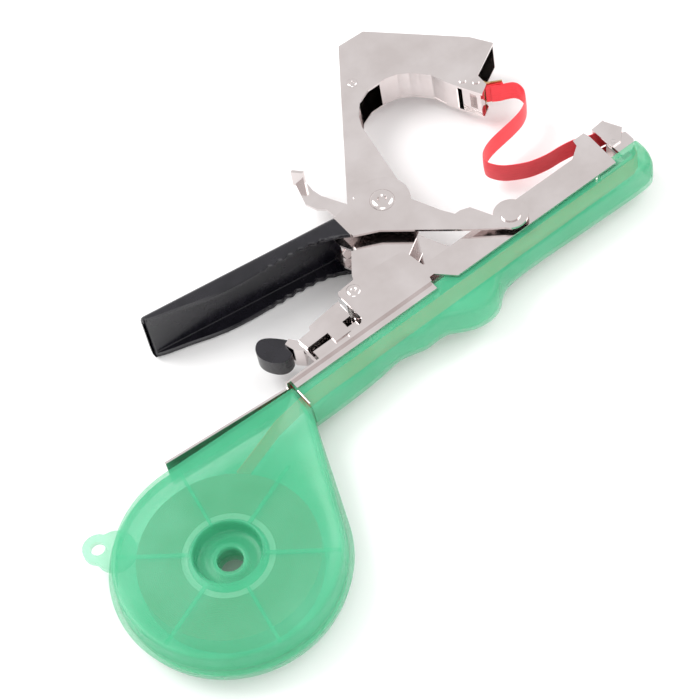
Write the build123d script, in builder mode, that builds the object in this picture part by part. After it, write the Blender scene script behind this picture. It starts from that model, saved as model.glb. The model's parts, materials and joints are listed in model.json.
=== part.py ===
from build123d import *
import math
import os

# Garden tape tool: a plier that staples plastic tape round a plant stem.
# It lies on its side. Z is its thickness, X runs along the staple magazine from
# the tape reel to the nose, Y runs from the finger grip towards the jaw.
# Lengths are in millimetres. Outlines are written from the main pivot, (0, 0),
# and heights from the middle plane; level() puts both into the part's own frame.

os.makedirs("parts", exist_ok=True)

# ---------------------------------------------------------------- driving sizes
tape_width = 11.0           # plastic tape
tape_thick = 0.3
running = 0.05              # radial clearance of a pin that turns
slack = 0.4                 # clearance between plates that slide past each other

sheet = 1.2                 # pressed steel of lever and arm
thin_sheet = 1.0            # pressed steel of frame and magazine

arm_half = 8.4              # half width over the jaw arm
shell_room = 3.3            # plastic and air on each side of the tape
shell_half = tape_width / 2 + shell_room    # over the green shells
cheek_gap = 0.2             # magazine cheek to frame cheek
lever_gap = 1.0             # frame cheek to lever wall
magazine_half = shell_half + slack + thin_sheet     # over the magazine cheeks
frame_half = magazine_half + cheek_gap + thin_sheet     # over the frame channel
lever_half = frame_half + lever_gap + sheet     # over the lever's two walls
rack_half = 6.7             # over the staple channel
grip_coat = 1.0             # black grip outside the lever
grip_lining = 0.4           # black grip inside the lever

shell_wall = 1.4
shell_top = -18.4           # upper rim of the finger grip shell
shell_floor = -32.5         # outer face of the grip under the fingers

nose_x = 142.0              # front of the finger grip shell
seam_x = -47.0              # where the finger grip meets the reel case

reel_x = -113.0             # axis of the tape reel
reel_y = -64.0
case_r = 49.6               # round end of the reel case, at the tray's rim
lid_r = 47.0                # round end of the lid
roll_r = 37.4               # full tape roll
core_r = 19.0               # inside of the wound tape
hub_r = 14.2                # cup in the lid
hub_hole_r = 5.5
tab_x = -150.5              # hanging hole
tab_y = -22.8
tab_r = 6.5
hang_hole_r = 3.1

lever_pivot_x = 37.4        # rivet that joins lever and jaw arm
lever_pivot_y = 27.8
lever_pin_x = 73.5          # rivet that joins lever and magazine
lever_pin_y = -15.3
pivot_r = 2.5               # main pivot shank
lever_pivot_r = 3.0
lever_pin_r = 2.4

arm_swing = 29.5            # degrees, jaw open to jaw closed
lever_swing = 12.0          # degrees the lever turns against the frame
magazine_dip = 2.0          # degrees the magazine turns against the frame

mid_z = lever_half + grip_coat
case_left = reel_x - case_r
pivot_x = -(case_left + nose_x) / 2
box_low = reel_y - case_r
box_high = 114.0            # upper corner of the jaw arm
pivot_y = -(box_low + box_high) / 2


def level(z):
    """Sketch plane at height z above the middle plane, centred on the main pivot."""
    return Plane((pivot_x, pivot_y, mid_z + z))


def across(x, y, z=0.0, toward=(1, 0, 0)):
    """Sketch plane at a point of the outline frame, facing along toward."""
    return Plane((pivot_x + x, pivot_y + y, mid_z + z), x_dir=(0, 0, 1), z_dir=toward)


def turned(x, y, degrees):
    """Point (x, y) turned about the main pivot."""
    c = math.cos(math.radians(degrees))
    s = math.sin(math.radians(degrees))
    return (x * c - y * s, x * s + y * c)


def save(part, name):
    part.label = name
    export_step(part, f"parts/{name}.step")


# ---------------------------------------------------------------- hinge of the reel case's lid
hinge_low = -31.4
hinge_high = -23.4
hinge_pin_r = 0.5
knuckle_r = 1.05
leaf_long = 4.0
leaf_thick = 0.6
hinge_x = seam_x - 0.15
hinge_z = shell_half + knuckle_r + 0.05


def hinge_plane(y):
    """Plane across the hinge axis at height y of the outline; its Y points down."""
    return Plane((pivot_x + hinge_x, pivot_y + y, mid_z + hinge_z), x_dir=(1, 0, 0), z_dir=(0, 1, 0))


def leaf_profile(side):
    """Knuckle and leaf of the hinge, on the side -1 (lid) or 1 (grip shell)."""
    Circle(knuckle_r)
    with Locations((side * leaf_long / 2, hinge_z - shell_half - leaf_thick / 2)):
        Rectangle(leaf_long, leaf_thick)
    Circle(hinge_pin_r + running, mode=Mode.SUBTRACT)


# ---------------------------------------------------------------- green grip shell
grip_profile = [
    (seam_x, shell_top), (nose_x - 0.8, shell_top), (nose_x, -19.6), (nose_x - 1.5, -25.5),
    (134.5, shell_floor), (60.0, -31.4), (55.5, -33.0), (49.5, -37.6), (44.0, -39.9),
    (32.5, -39.6), (27.0, -35.8), (22.0, -33.6), (12.0, -33.4), (4.0, -30.6), (-6.0, -31.0),
    (-25.0, -32.2), (seam_x, shell_floor),
]
with BuildPart() as grip_shell:
    with BuildSketch(level(-shell_half)):
        Polygon(*grip_profile, align=None)
    extrude(amount=2 * shell_half)
    sides = grip_shell.faces().filter_by(Axis.Z)
    fillet(sides.edges().filter_by(GeomType.LINE).filter_by(
        lambda e: e.center().Y < pivot_y + shell_floor + 4), radius=1.2)
    with BuildSketch(level(-shell_half + shell_wall)):
        with BuildLine():
            Polyline(
                (seam_x - 1, shell_top + 1), (nose_x - 2.2, shell_top + 1), (nose_x - 2.2, -24.0),
                (133.5, shell_floor + shell_wall), (60.0, -31.4 + shell_wall), (49.0, -36.0),
                (43.5, -38.4), (33.0, -38.1), (22.0, -32.2), (12.0, -31.9), (4.0, -29.2),
                (-6.0, -29.6), (seam_x - 1, shell_floor + shell_wall), close=True)
        make_face()
    extrude(amount=2 * (shell_half - shell_wall), mode=Mode.SUBTRACT)
    with BuildSketch(hinge_plane(hinge_low + 2.7)):
        leaf_profile(1)
    extrude(amount=hinge_high - hinge_low - 5.4)
save(grip_shell.part, "grip_shell")

# ---------------------------------------------------------------- reel case
# A teardrop: its two straight sides run from the grip's end to the round end,
# which they touch.
apex_high = -19.5
apex_low = shell_floor


def on_case(degrees, radius):
    return (reel_x + radius * math.cos(math.radians(degrees)),
            reel_y + radius * math.sin(math.radians(degrees)))


def tangent_point(x, y, radius, side):
    """Where a line from (x, y) touches the round end; side is 1 above, -1 below."""
    away = math.hypot(x - reel_x, y - reel_y)
    toward = math.degrees(math.atan2(y - reel_y, x - reel_x))
    return on_case(toward + side * math.degrees(math.acos(radius / away)), radius)


def teardrop(radius, inset):
    """Draw the outline of the reel case, moved inwards by inset."""
    right = seam_x - 0.3 - inset
    high = apex_high - inset
    low = apex_low + inset
    with Locations((reel_x, reel_y)):
        Circle(radius - inset)
    Polygon(tangent_point(right, high, radius - inset, 1), (right, high), (right, low),
            tangent_point(right, low, radius - inset, -1), align=None)


rim_fillet = 1.6
spindle_r = 16.2            # outside of the collar that carries the reel core

with BuildPart() as reel_tray:
    with BuildSketch(level(-shell_half)):
        teardrop(case_r, 0)
    extrude(amount=shell_half - 0.1)
    fillet(reel_tray.faces().sort_by(Axis.Z)[0].edges(), radius=rim_fillet)
    with BuildSketch(level(-shell_half + shell_wall)):
        teardrop(case_r, shell_wall)
    extrude(amount=2 * shell_half, mode=Mode.SUBTRACT)
    with BuildSketch(level(-tape_width / 2 - slack)):
        with Locations((seam_x - 1.5, -24.4)):
            Rectangle(6.0, 4.4)
    extrude(amount=tape_width + 2 * slack, mode=Mode.SUBTRACT)
    with BuildSketch(level(-3.2)):
        with Locations((tab_x, tab_y)):
            Circle(tab_r)
        reach = math.degrees(math.atan2(tab_y - reel_y, tab_x - reel_x))
        wide_a = on_case(reach + 15, case_r - 0.6)
        wide_b = on_case(reach - 18, case_r - 0.6)
        side_a = (tab_x + tab_r * math.cos(math.radians(reach + 75)),
                  tab_y + tab_r * math.sin(math.radians(reach + 75)))
        side_b = (tab_x + tab_r * math.cos(math.radians(reach - 75)),
                  tab_y + tab_r * math.sin(math.radians(reach - 75)))
        Polygon(wide_a, side_a, side_b, wide_b, align=None)
        with Locations((tab_x, tab_y)):
            Circle(hang_hole_r, mode=Mode.SUBTRACT)
    extrude(amount=3.0)
    with BuildSketch(level(-shell_half)):
        with Locations((reel_x, reel_y)):
            Circle(spindle_r)
            Circle(spindle_r - shell_wall, mode=Mode.SUBTRACT)
    extrude(amount=shell_half + 5.4)
    with BuildSketch(level(-shell_half)):
        with Locations((reel_x, reel_y)):
            Circle(hub_hole_r + shell_wall)
            Circle(hub_hole_r, mode=Mode.SUBTRACT)
    extrude(amount=shell_half - 0.2)
    with BuildSketch(level(-shell_half)):
        with Locations((reel_x, reel_y)):
            Circle(hub_hole_r)
    extrude(amount=shell_wall, mode=Mode.SUBTRACT)
save(reel_tray.part, "reel_tray")

# Lid: the near half of the case, with the cup over the reel post and six ribs.
rib_count = 6
rib_turn = 21.0
cup_floor = 0.6
with BuildPart() as reel_lid:
    with BuildSketch(level(0.1)):
        teardrop(lid_r, 0)
    extrude(amount=shell_half - 0.1)
    fillet(reel_lid.faces().sort_by(Axis.Z)[-1].edges(), radius=rim_fillet)
    with BuildSketch(level(0.1)):
        teardrop(lid_r, shell_wall)
    extrude(amount=shell_half - 0.1 - shell_wall, mode=Mode.SUBTRACT)
    with BuildSketch(level(0.1)):
        with Locations((seam_x - 1.5, -24.4)):
            Rectangle(6.0, 4.4)
    extrude(amount=tape_width / 2 + slack - 0.1, mode=Mode.SUBTRACT)
    with BuildSketch(level(cup_floor)):
        with Locations((reel_x, reel_y)):
            Circle(hub_r)
    extrude(amount=shell_half - cup_floor)
    with BuildSketch(level(cup_floor + shell_wall)):
        with Locations((reel_x, reel_y)):
            Circle(hub_r - 0.9)
    extrude(amount=shell_half, mode=Mode.SUBTRACT)
    with BuildSketch(level(cup_floor)):
        with Locations((reel_x, reel_y)):
            Circle(hub_hole_r)
    extrude(amount=shell_wall, mode=Mode.SUBTRACT)
    with BuildSketch(level(shell_half - shell_wall - 1.0)):
        with Locations((reel_x, reel_y)):
            with PolarLocations(0, rib_count, start_angle=rib_turn):
                with Locations(((hub_r + lid_r) / 2, 0)):
                    Rectangle(lid_r - hub_r - 3.0, 1.2)
    extrude(amount=1.4)
    with BuildSketch(level(shell_half - shell_wall)):
        with Locations((-115.0, -109.0)):
            Rectangle(7.0, 1.6)
        with Locations((reel_x - 20.5, reel_y + 0.8)):
            Rectangle(5.0, 1.6)
    extrude(amount=shell_wall, mode=Mode.SUBTRACT)
    for y in (hinge_low, hinge_high - 2.6):
        with BuildSketch(hinge_plane(y)):
            leaf_profile(-1)
        extrude(amount=2.6)
save(reel_lid.part, "reel_lid")

# Hinge pin of the lid, in knuckles on the near face, along the seam with the grip.
with BuildPart() as lid_hinge_pin:
    with BuildSketch(hinge_plane(hinge_low)):
        Circle(hinge_pin_r)
    extrude(amount=hinge_high - hinge_low)
save(lid_hinge_pin.part, "lid_hinge_pin")

# ---------------------------------------------------------------- tape
with BuildPart() as tape_core:
    with BuildSketch(level(-tape_width / 2)):
        with Locations((reel_x, reel_y)):
            Circle(core_r)
            Circle(spindle_r + slack, mode=Mode.SUBTRACT)
    extrude(amount=tape_width)
save(tape_core.part, "tape_core")

with BuildPart() as tape_roll:
    with BuildSketch(level(-tape_width / 2)):
        with Locations((reel_x, reel_y)):
            Circle(roll_r)
            Circle(core_r, mode=Mode.SUBTRACT)
    extrude(amount=tape_width)
save(tape_roll.part, "tape_roll")


def ribbon(points, thick):
    """Thin closed outline that follows points, used for the tape on edge."""
    left = []
    right = []
    for i, (x, y) in enumerate(points):
        before = points[max(i - 1, 0)]
        after = points[min(i + 1, len(points) - 1)]
        dx = after[0] - before[0]
        dy = after[1] - before[1]
        size = math.hypot(dx, dy)
        nx = -dy / size * thick / 2
        ny = dx / size * thick / 2
        left.append((x + nx, y + ny))
        right.append((x - nx, y - ny))
    return left + right[::-1]


# Tape inside the grip: from the roll's upper tangent to the nose, then up its front.
tape_run_y = -23.6
inner_run = [(-88.0, -35.2), (-62.0, -26.4), (-48.0, -24.2), (-36.0, tape_run_y), (60.0, tape_run_y),
             (135.0, tape_run_y), (138.4, -22.0)]
with BuildPart() as tape_inner_run:
    with BuildSketch(level(-tape_width / 2)):
        Polygon(*ribbon(inner_run, tape_thick), align=None)
    extrude(amount=tape_width)
save(tape_inner_run.part, "tape_inner_run")

# Free tape: up over the nose, back under the presser and in a loose loop to the arm's tip.
free_run = [(138.4, -21.8), (140.0, -16.4), (140.6, -10.0), (139.9, -5.8), (137.4, -3.2), (132.8, -2.2),
            (128.0, -0.6), (122.6, 1.8), (116.0, 3.0), (109.0, 3.6), (102.0, 5.3), (96.5, 8.0),
            (91.5, 11.5), (88.3, 15.5), (86.2, 20.3), (86.8, 25.0), (90.0, 29.6), (94.6, 32.6),
            (99.5, 33.4), (104.6, 32.6), (109.4, 30.2), (114.0, 28.6), (118.8, 29.8), (122.7, 33.2),
            (125.3, 37.3), (126.1, 41.5), (125.2, 45.0), (122.0, 46.6), (118.6, 48.0), (115.4, 50.2)]
with BuildPart() as tape_free_run:
    with BuildSketch(level(-tape_width / 2)):
        Polygon(*ribbon(free_run, tape_thick), align=None)
    extrude(amount=tape_width)
save(tape_free_run.part, "tape_free_run")

# ---------------------------------------------------------------- frame channel
web_high = shell_top + thin_sheet       # frame web lies on the grip shell's rim
hem_low = -21.9
hem_out = shell_half + thin_sheet       # hem flanges clasp the shell's sides
frame_rear = -49.0
hem_rear = seam_x + 0.5       # short of the lid, which swings past it
frame_front = 30.0
cheek_plate = [
    (-15.2, shell_top), (frame_front - 2.4, shell_top), (frame_front, -9.4), (28.9, -1.3), (27.8, 2.0),
    (2.7, 4.4), (-5.5, 3.7), (-6.2, 2.6), (-6.0, -13.4), (-7.6, -15.2), (-15.2, -15.8),
]
with BuildPart() as frame_channel:
    for low in (-frame_half, frame_half - thin_sheet):
        with BuildSketch(level(low)):
            Polygon(*cheek_plate, align=None)
            Circle(pivot_r, mode=Mode.SUBTRACT)
        extrude(amount=thin_sheet)
    with BuildSketch(level(-frame_half)):
        Polygon((frame_rear, shell_top), (frame_front - 2.4, shell_top), (frame_front - 2.4, web_high),
                (frame_rear, web_high), align=None)
    extrude(amount=2 * frame_half)
    for low in (-hem_out, shell_half):
        with BuildSketch(level(low)):
            Polygon((hem_rear, hem_low), (frame_front - 2.4, hem_low), (frame_front - 2.4, web_high),
                    (hem_rear, web_high), align=None)
        extrude(amount=thin_sheet)
save(frame_channel.part, "frame_channel")

# Strap over the top line of the reel case.
strap_lift = 0.05
case_corner = (seam_x - 0.3, apex_high)
case_top = tangent_point(*case_corner, case_r, 1)
strap_fall = (case_top[1] - case_corner[1]) / (case_top[0] - case_corner[0])
strap_end = (case_top[0] + 0.5, case_top[1] + 0.5 * strap_fall + strap_lift)
strap_start = (case_corner[0] - 1.9, case_corner[1] - 1.9 * strap_fall + strap_lift)
with BuildPart() as case_strap:
    with BuildSketch(level(-shell_half)):
        Polygon(strap_start, (strap_start[0], strap_start[1] + thin_sheet),
                (strap_end[0], strap_end[1] + thin_sheet), strap_end, align=None)
    extrude(amount=2 * shell_half)
save(case_strap.part, "case_strap")

# ---------------------------------------------------------------- main pivot
rivet_head = 0.4
with BuildPart() as main_rivet:
    with BuildSketch(level(-frame_half)):
        Circle(pivot_r)
    extrude(amount=2 * frame_half)
    for low in (-frame_half - rivet_head, frame_half):
        with BuildSketch(level(low)):
            Circle(pivot_r + 1.0)
        extrude(amount=rivet_head)
save(main_rivet.part, "main_rivet")

spring_wire = 1.1
spring_turns = 6
spring_bore = pivot_r + 0.3
spring_gap = 0.25
with BuildPart() as return_spring:
    for i in range(spring_turns):
        turn_z = -3.0 + i * (spring_wire + spring_gap)
        with BuildSketch(level(turn_z)):
            Circle(spring_bore + spring_wire)
            Circle(spring_bore, mode=Mode.SUBTRACT)
        extrude(amount=spring_wire)
    with BuildSketch(level(-3.0)):
        with Locations((0, spring_bore + spring_wire / 2)):
            Rectangle(2.0, spring_wire)
    extrude(amount=spring_turns * (spring_wire + spring_gap) - spring_gap)
    with BuildSketch(level(-3.0)):
        Polygon((-1.0, spring_bore), (-9.0, spring_bore), (-9.0, spring_bore + spring_wire),
                (-1.0, spring_bore + spring_wire), align=None)
    extrude(amount=spring_wire)
save(return_spring.part, "return_spring")

# ---------------------------------------------------------------- nose of the frame
slot_x = 120.9              # staple, driver and exit slot line up here
blade_thick = 0.8
holder_top = -21.4
with BuildPart() as driver_holder:
    with BuildSketch(level(-shell_half + shell_wall)):
        Polygon((117.0, holder_top), (128.0, holder_top), (128.0, -20.4), (135.0, -20.4),
                (135.0, -22.9), (117.0, -22.9), align=None)
    extrude(amount=2 * (shell_half - shell_wall))
save(driver_holder.part, "driver_holder")

rack_floor = -15.2          # upper face of the staple channel's floor
rack_top = -10.2
rack_wall = 0.8
staple_leg = 5.2
with BuildPart() as driver_blade:
    with BuildSketch(level(-5.4)):
        Polygon((slot_x - blade_thick / 2, holder_top), (slot_x + blade_thick / 2, holder_top),
                (slot_x + blade_thick / 2, rack_floor - rack_wall - 0.5),
                (slot_x - blade_thick / 2, rack_floor - rack_wall - 0.5), align=None)
    extrude(amount=10.8)
save(driver_blade.part, "driver_blade")

with BuildPart() as tape_cutter:
    with BuildSketch(level(-6.0)):
        Polygon((130.6, -20.4), (131.4, -20.4), (131.4, -11.2), (131.0, -10.2), (130.6, -11.2), align=None)
    extrude(amount=12.0)
save(tape_cutter.part, "tape_cutter")

guide_in = tape_width / 2 + 0.1
guide_wall = 0.5
presser_x = 134.0
presser_y = -11.4
pin_r = 1.0
with BuildPart() as tape_guide:
    for low in (-guide_in - guide_wall, guide_in):
        with BuildSketch(level(low)):
            Polygon((132.2, -20.4), (136.6, -20.4), (139.2, -19.0), (141.8, -16.0), (141.8, -10.4),
                    (138.4, -9.6), (132.2, -9.6), align=None)
            with Locations((presser_x, presser_y)):
                Circle(pin_r, mode=Mode.SUBTRACT)
        extrude(amount=guide_wall)
    with BuildSketch(level(-guide_in - guide_wall)):
        Polygon((134.2, -20.4), (135.0, -20.4), (135.0, -14.4), (134.2, -14.4), align=None)
    extrude(amount=2 * (guide_in + guide_wall))
save(tape_guide.part, "tape_guide")

presser_in = guide_in + guide_wall + 0.1
presser_wall = 0.7
pin_half = presser_in + presser_wall
with BuildPart() as presser_pin:
    with BuildSketch(level(-pin_half)):
        with Locations((presser_x, presser_y)):
            Circle(pin_r)
    extrude(amount=2 * pin_half)
save(presser_pin.part, "presser_pin")

# ---------------------------------------------------------------- tape presser on the nose
with BuildPart() as tape_presser:
    for low in (-presser_in - presser_wall, presser_in):
        with BuildSketch(level(low)):
            Polygon((131.4, -1.2), (138.4, -0.6), (142.0, -8.2), (136.6, -13.4), (131.6, -13.4), align=None)
            with Locations((presser_x, presser_y)):
                Circle(pin_r + running, mode=Mode.SUBTRACT)
        extrude(amount=presser_wall)
    with BuildSketch(level(-presser_in - presser_wall)):
        Polygon((131.4, -0.2), (138.4, 0.4), (138.4, -0.6), (131.4, -1.2), align=None)
    extrude(amount=2 * (presser_in + presser_wall))
save(tape_presser.part, "tape_presser")

# ---------------------------------------------------------------- magazine
magazine_in = magazine_half - thin_sheet
cheek_low = -23.0
cheek_high = -9.0
plate_thick = 0.8
with BuildPart() as magazine_cheeks:
    for low in (-magazine_half, magazine_in):
        with BuildSketch(level(low)):
            Polygon((-4.2, -3.6), (-3.4, 2.4), (3.0, 3.4), (14.0, -1.5), (31.0, cheek_high),
                    (113.0, cheek_high), (119.2, -4.6), (119.8, -1.4), (126.0, -1.4), (126.6, -5.0),
                    (125.7, cheek_low), (38.0, cheek_low), (31.0, -15.6), (10.0, -15.6), (2.0, -4.5),
                    align=None)
            Circle(pivot_r + running, mode=Mode.SUBTRACT)
            with Locations((lever_pin_x, lever_pin_y)):
                Circle(lever_pin_r, mode=Mode.SUBTRACT)
        extrude(amount=thin_sheet)
    with BuildSketch(level(-magazine_half)):
        Polygon((112.0, cheek_high - plate_thick), (124.6, cheek_high - plate_thick),
                (124.6, cheek_high), (112.0, cheek_high), align=None)
    extrude(amount=2 * magazine_half)
    with BuildSketch(level(-5.8)):
        with Locations((slot_x, cheek_high)):
            Rectangle(2.0, 4.0)
    extrude(amount=11.6, mode=Mode.SUBTRACT)
save(magazine_cheeks.part, "magazine_cheeks")

rack_rear = -30.0
rack_front = 124.0
with BuildPart() as staple_channel:
    with BuildSketch(level(-rack_half)):
        Polygon((rack_rear, rack_floor - rack_wall), (rack_front, rack_floor - rack_wall),
                (rack_front, rack_top), (rack_rear, rack_top), align=None)
    extrude(amount=2 * rack_half)
    with BuildSketch(level(-rack_half + rack_wall)):
        Polygon((rack_rear - 1, rack_floor), (rack_front - rack_wall, rack_floor),
                (rack_front - rack_wall, rack_top + 1), (rack_rear - 1, rack_top + 1), align=None)
    extrude(amount=2 * (rack_half - rack_wall), mode=Mode.SUBTRACT)
    with BuildSketch(level(-5.8)):
        with Locations((slot_x, rack_floor)):
            Rectangle(2.6, 4.0)
    extrude(amount=11.6, mode=Mode.SUBTRACT)
save(staple_channel.part, "staple_channel")

with BuildPart() as rack_spacers:
    for x in (14.0, 58.0, 108.0):
        for z in (rack_half, -magazine_in):
            with BuildSketch(level(z)):
                with Locations((x, (rack_floor + rack_top) / 2)):
                    Circle(1.8)
            extrude(amount=magazine_in - rack_half)
save(rack_spacers.part, "rack_spacers")

cover_half = rack_half + 0.8
with BuildPart() as rear_cover:
    for low in (-cover_half, rack_half):
        with BuildSketch(level(low)):
            Polygon((-31.4, -2.0), (-25.0, -1.4), (-23.8, 0.6), (-9.7, 2.2), (-6.8, 2.4), (-7.6, -6.9),
                    (-12.0, -7.0), (-12.0, -13.0), (-20.0, -13.0), (-20.0, -7.3), (-30.8, -7.7),
                    align=None)
        extrude(amount=0.8)
    with BuildSketch(level(-cover_half)):
        Polygon((-30.8, -7.7), (-7.6, -6.9), (-7.6, -6.1), (-30.8, -6.9), align=None)
    extrude(amount=2 * cover_half)
save(rear_cover.part, "rear_cover")

staple_pitch = 2.6
staple_count = 16
staple_half = 5.6
with BuildPart() as staple_stick:
    for i in range(staple_count):
        with BuildSketch(Plane((pivot_x + 119.0 - i * staple_pitch, pivot_y, mid_z),
                               x_dir=(0, 0, 1), z_dir=(-1, 0, 0))):
            with Locations((0, rack_floor + staple_leg / 2)):
                Rectangle(2 * staple_half, staple_leg)
            with Locations((0, rack_floor + 0.6 + staple_leg / 2)):
                Rectangle(2 * (staple_half - 0.6), staple_leg, mode=Mode.SUBTRACT)
        extrude(amount=staple_pitch - 0.2)
save(staple_stick.part, "staple_stick")

lever_in = lever_half - sheet
pin_head = 0.8
pin_foot = 0.3
with BuildPart() as lever_pins:
    for z, way in ((magazine_in - pin_foot, 1), (-magazine_in + pin_foot, -1)):
        reach = lever_half - magazine_in + pin_foot
        with BuildSketch(level(z)):
            with Locations((lever_pin_x, lever_pin_y)):
                Circle(lever_pin_r)
        extrude(amount=way * reach)
        with BuildSketch(level(z)):
            with Locations((lever_pin_x, lever_pin_y)):
                Circle(lever_pin_r + 1.2)
        extrude(amount=way * pin_foot)
        with BuildSketch(level(way * magazine_half)):
            with Locations((lever_pin_x, lever_pin_y)):
                Circle(lever_pin_r + 1.6)
        extrude(amount=way * (lever_in - magazine_half - 0.15))
        with BuildSketch(level(way * (lever_half + 0.05))):
            with Locations((lever_pin_x, lever_pin_y)):
                Circle(lever_pin_r + 2.0)
        extrude(amount=way * (pin_head - 0.05))
        with BuildSketch(level(way * lever_half)):
            with Locations((lever_pin_x, lever_pin_y)):
                Circle(lever_pin_r)
        extrude(amount=way * 0.2)
save(lever_pins.part, "lever_pins")

# ---------------------------------------------------------------- staple loader and pusher
rod_y = -12.2
rod_r = 1.0
rod_front = 117.0
loader_x = -31.0
with BuildPart() as loader_rod:
    with BuildSketch(across(loader_x - 1.4, rod_y)):
        Circle(rod_r)
    extrude(amount=rod_front - loader_x + 1.4)
save(loader_rod.part, "loader_rod")

with BuildPart() as loader_plate:
    with BuildSketch(level(-6.0)):
        Polygon((loader_x - 1.4, -15.6), (loader_x - 0.2, -15.6), (loader_x - 0.2, -1.2),
                (-33.6, 2.4), (-36.4, 1.2), (-35.4, -3.4), (loader_x - 1.4, -6.6), align=None)
    extrude(amount=12.0)
    with BuildSketch(across(loader_x - 3.0, rod_y)):
        Circle(rod_r)
    extrude(amount=4.0, mode=Mode.SUBTRACT)
save(loader_plate.part, "loader_plate")

with BuildPart() as pull_tab:
    with BuildSketch(level(-4.5)):
        with BuildLine():
            Spline((-33.6, 2.4), (-38.0, 8.0), (-43.6, 11.0), (-47.4, 7.6), (-46.4, -0.4), (-42.2, -4.6),
                   (-36.4, -3.6))
            Line((-36.4, -3.6), (-36.4, 1.2))
            Line((-36.4, 1.2), (-33.6, 2.4))
        make_face()
    extrude(amount=9.0)
save(pull_tab.part, "pull_tab")

pusher_rear = 67.0
pusher_front = 77.6
with BuildPart() as staple_pusher:
    with BuildSketch(level(-staple_half)):
        Polygon((pusher_rear, rack_floor + 0.1), (pusher_front, rack_floor + 0.1),
                (pusher_front, rack_top - 0.2), (pusher_rear, rack_top - 0.2), align=None)
    extrude(amount=2 * staple_half)
    with BuildSketch(across(pusher_rear - 1, rod_y)):
        Circle(rod_r + running)
    extrude(amount=pusher_front - pusher_rear + 2, mode=Mode.SUBTRACT)
save(staple_pusher.part, "staple_pusher")

push_wire = 0.5
push_rear = loader_x
with BuildPart() as pusher_spring:
    with BuildSketch(across(push_rear, rod_y)):
        Circle(rod_r + 0.3 + push_wire)
        Circle(rod_r + 0.3, mode=Mode.SUBTRACT)
    extrude(amount=pusher_rear - push_rear)
save(pusher_spring.part, "pusher_spring")

# ---------------------------------------------------------------- jaw arm
# The lever's rivet slides in a curved slot of the arm. Its path follows from the
# two swings: the rivet turns with the lever about the lever pin, and the slot
# turns with the arm about the main pivot.
arm_in = arm_half - sheet
slot_steps = 8
slot_path = []
for i in range(slot_steps + 1):
    share = i / slot_steps
    pin_x, pin_y = turned(lever_pin_x, lever_pin_y, -magazine_dip * share)
    arm_x, arm_y = turned(lever_pivot_x - lever_pin_x, lever_pivot_y - lever_pin_y, lever_swing * share)
    slot_path.append(turned(pin_x + arm_x, pin_y + arm_y, arm_swing * share))
slot_r = lever_pivot_r + 0.15

back_top = (78.4, 114.0)
top_left = (92.0, 113.3)
top_right = (125.3, 77.0)
front_high = (131.0, 66.8)
front_low = (113.9, 57.2)
tip_out = (113.4, 50.3)
tip_in = (108.4, 47.2)
throat = [(104.1, 56.3), (100.6, 64.6), (98.7, 71.4), (95.0, 76.0), (91.9, 79.4), (87.6, 82.4),
          (81.9, 84.2), (72.4, 84.2), (65.8, 81.4), (60.6, 75.6), (57.6, 69.2)]
arm_wall = [
    (-2.6, 3.4), (2.9, 3.4), (5.5, 8.9), (13.2, 19.4), (11.0, 24.4), (11.0, 31.5), (14.0, 34.6),
    (22.5, 38.0), (26.6, 39.6), (30.0, 44.5), back_top, top_left, top_right, front_high, front_low,
    tip_out, tip_in, *throat, (48.9, 23.2), (40.7, 7.2), (30.0, 0.6), (2.6, -3.6),
]


def strip(a, b, thick):
    """Straight strip of sheet from a to b, laid on the left of that direction."""
    dx = b[0] - a[0]
    dy = b[1] - a[1]
    size = math.hypot(dx, dy)
    nx = -dy / size * thick
    ny = dx / size * thick
    return [a, b, (b[0] + nx, b[1] + ny), (a[0] + nx, a[1] + ny)]


hook_x = 33.0
hook_y = 40.5
hook_r = 1.5
arm_rivet_x = 69.7
arm_rivet_y = 92.4
with BuildPart() as arm_shell:
    for low in (-arm_half, arm_in):
        with BuildSketch(level(low)):
            Polygon(*arm_wall, align=None)
            Circle(4.3)
            Circle(pivot_r + running, mode=Mode.SUBTRACT)
            Polygon(*ribbon(slot_path, 2 * slot_r), align=None, mode=Mode.SUBTRACT)
            with Locations(slot_path[0], slot_path[-1]):
                Circle(slot_r, mode=Mode.SUBTRACT)
            with Locations((hook_x, hook_y)):
                Circle(hook_r, mode=Mode.SUBTRACT)
            with Locations((arm_rivet_x, arm_rivet_y)):
                Circle(2.0, mode=Mode.SUBTRACT)
        extrude(amount=sheet)
    with BuildSketch(level(-arm_half)):
        Polygon(*strip(back_top, (34.0, 50.2), sheet), align=None)
        Polygon(*strip(top_left, back_top, sheet), align=None)
        Polygon(*strip(top_right, top_left, sheet), align=None)
        Polygon(*strip(front_high, top_right, sheet), align=None)
    extrude(amount=2 * arm_half)
    with BuildSketch(level(-arm_half)):
        Polygon(*ribbon([(79.0, 84.9), (81.9, 84.7), (87.9, 82.9), (92.3, 79.8), (95.4, 76.4),
                         (99.2, 71.6), (101.1, 64.8), (103.4, 59.2)], 1.0), align=None)
    extrude(amount=2 * arm_half)
save(arm_shell.part, "arm_shell")

with BuildPart() as arm_rivet:
    with BuildSketch(level(-arm_half)):
        with Locations((arm_rivet_x, arm_rivet_y)):
            Circle(2.0)
    extrude(amount=2 * arm_half)
    for low in (-arm_half - 0.5, arm_half):
        with BuildSketch(level(low)):
            with Locations((arm_rivet_x, arm_rivet_y)):
                Circle(2.5)
        extrude(amount=0.5)
save(arm_rivet.part, "arm_rivet")

with BuildPart() as anvil_block:
    with BuildSketch(level(-arm_in)):
        Polygon((105.0, 57.8), (112.4, 56.2), (112.2, 51.0), (108.4, 48.6), align=None)
    extrude(amount=2 * arm_in)
    with BuildSketch(level(-4.6)):
        Polygon((106.0, 53.8), (108.8, 55.2), (109.9, 52.8), (107.4, 50.4), align=None)
    extrude(amount=9.2, mode=Mode.SUBTRACT)
save(anvil_block.part, "anvil_block")

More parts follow.
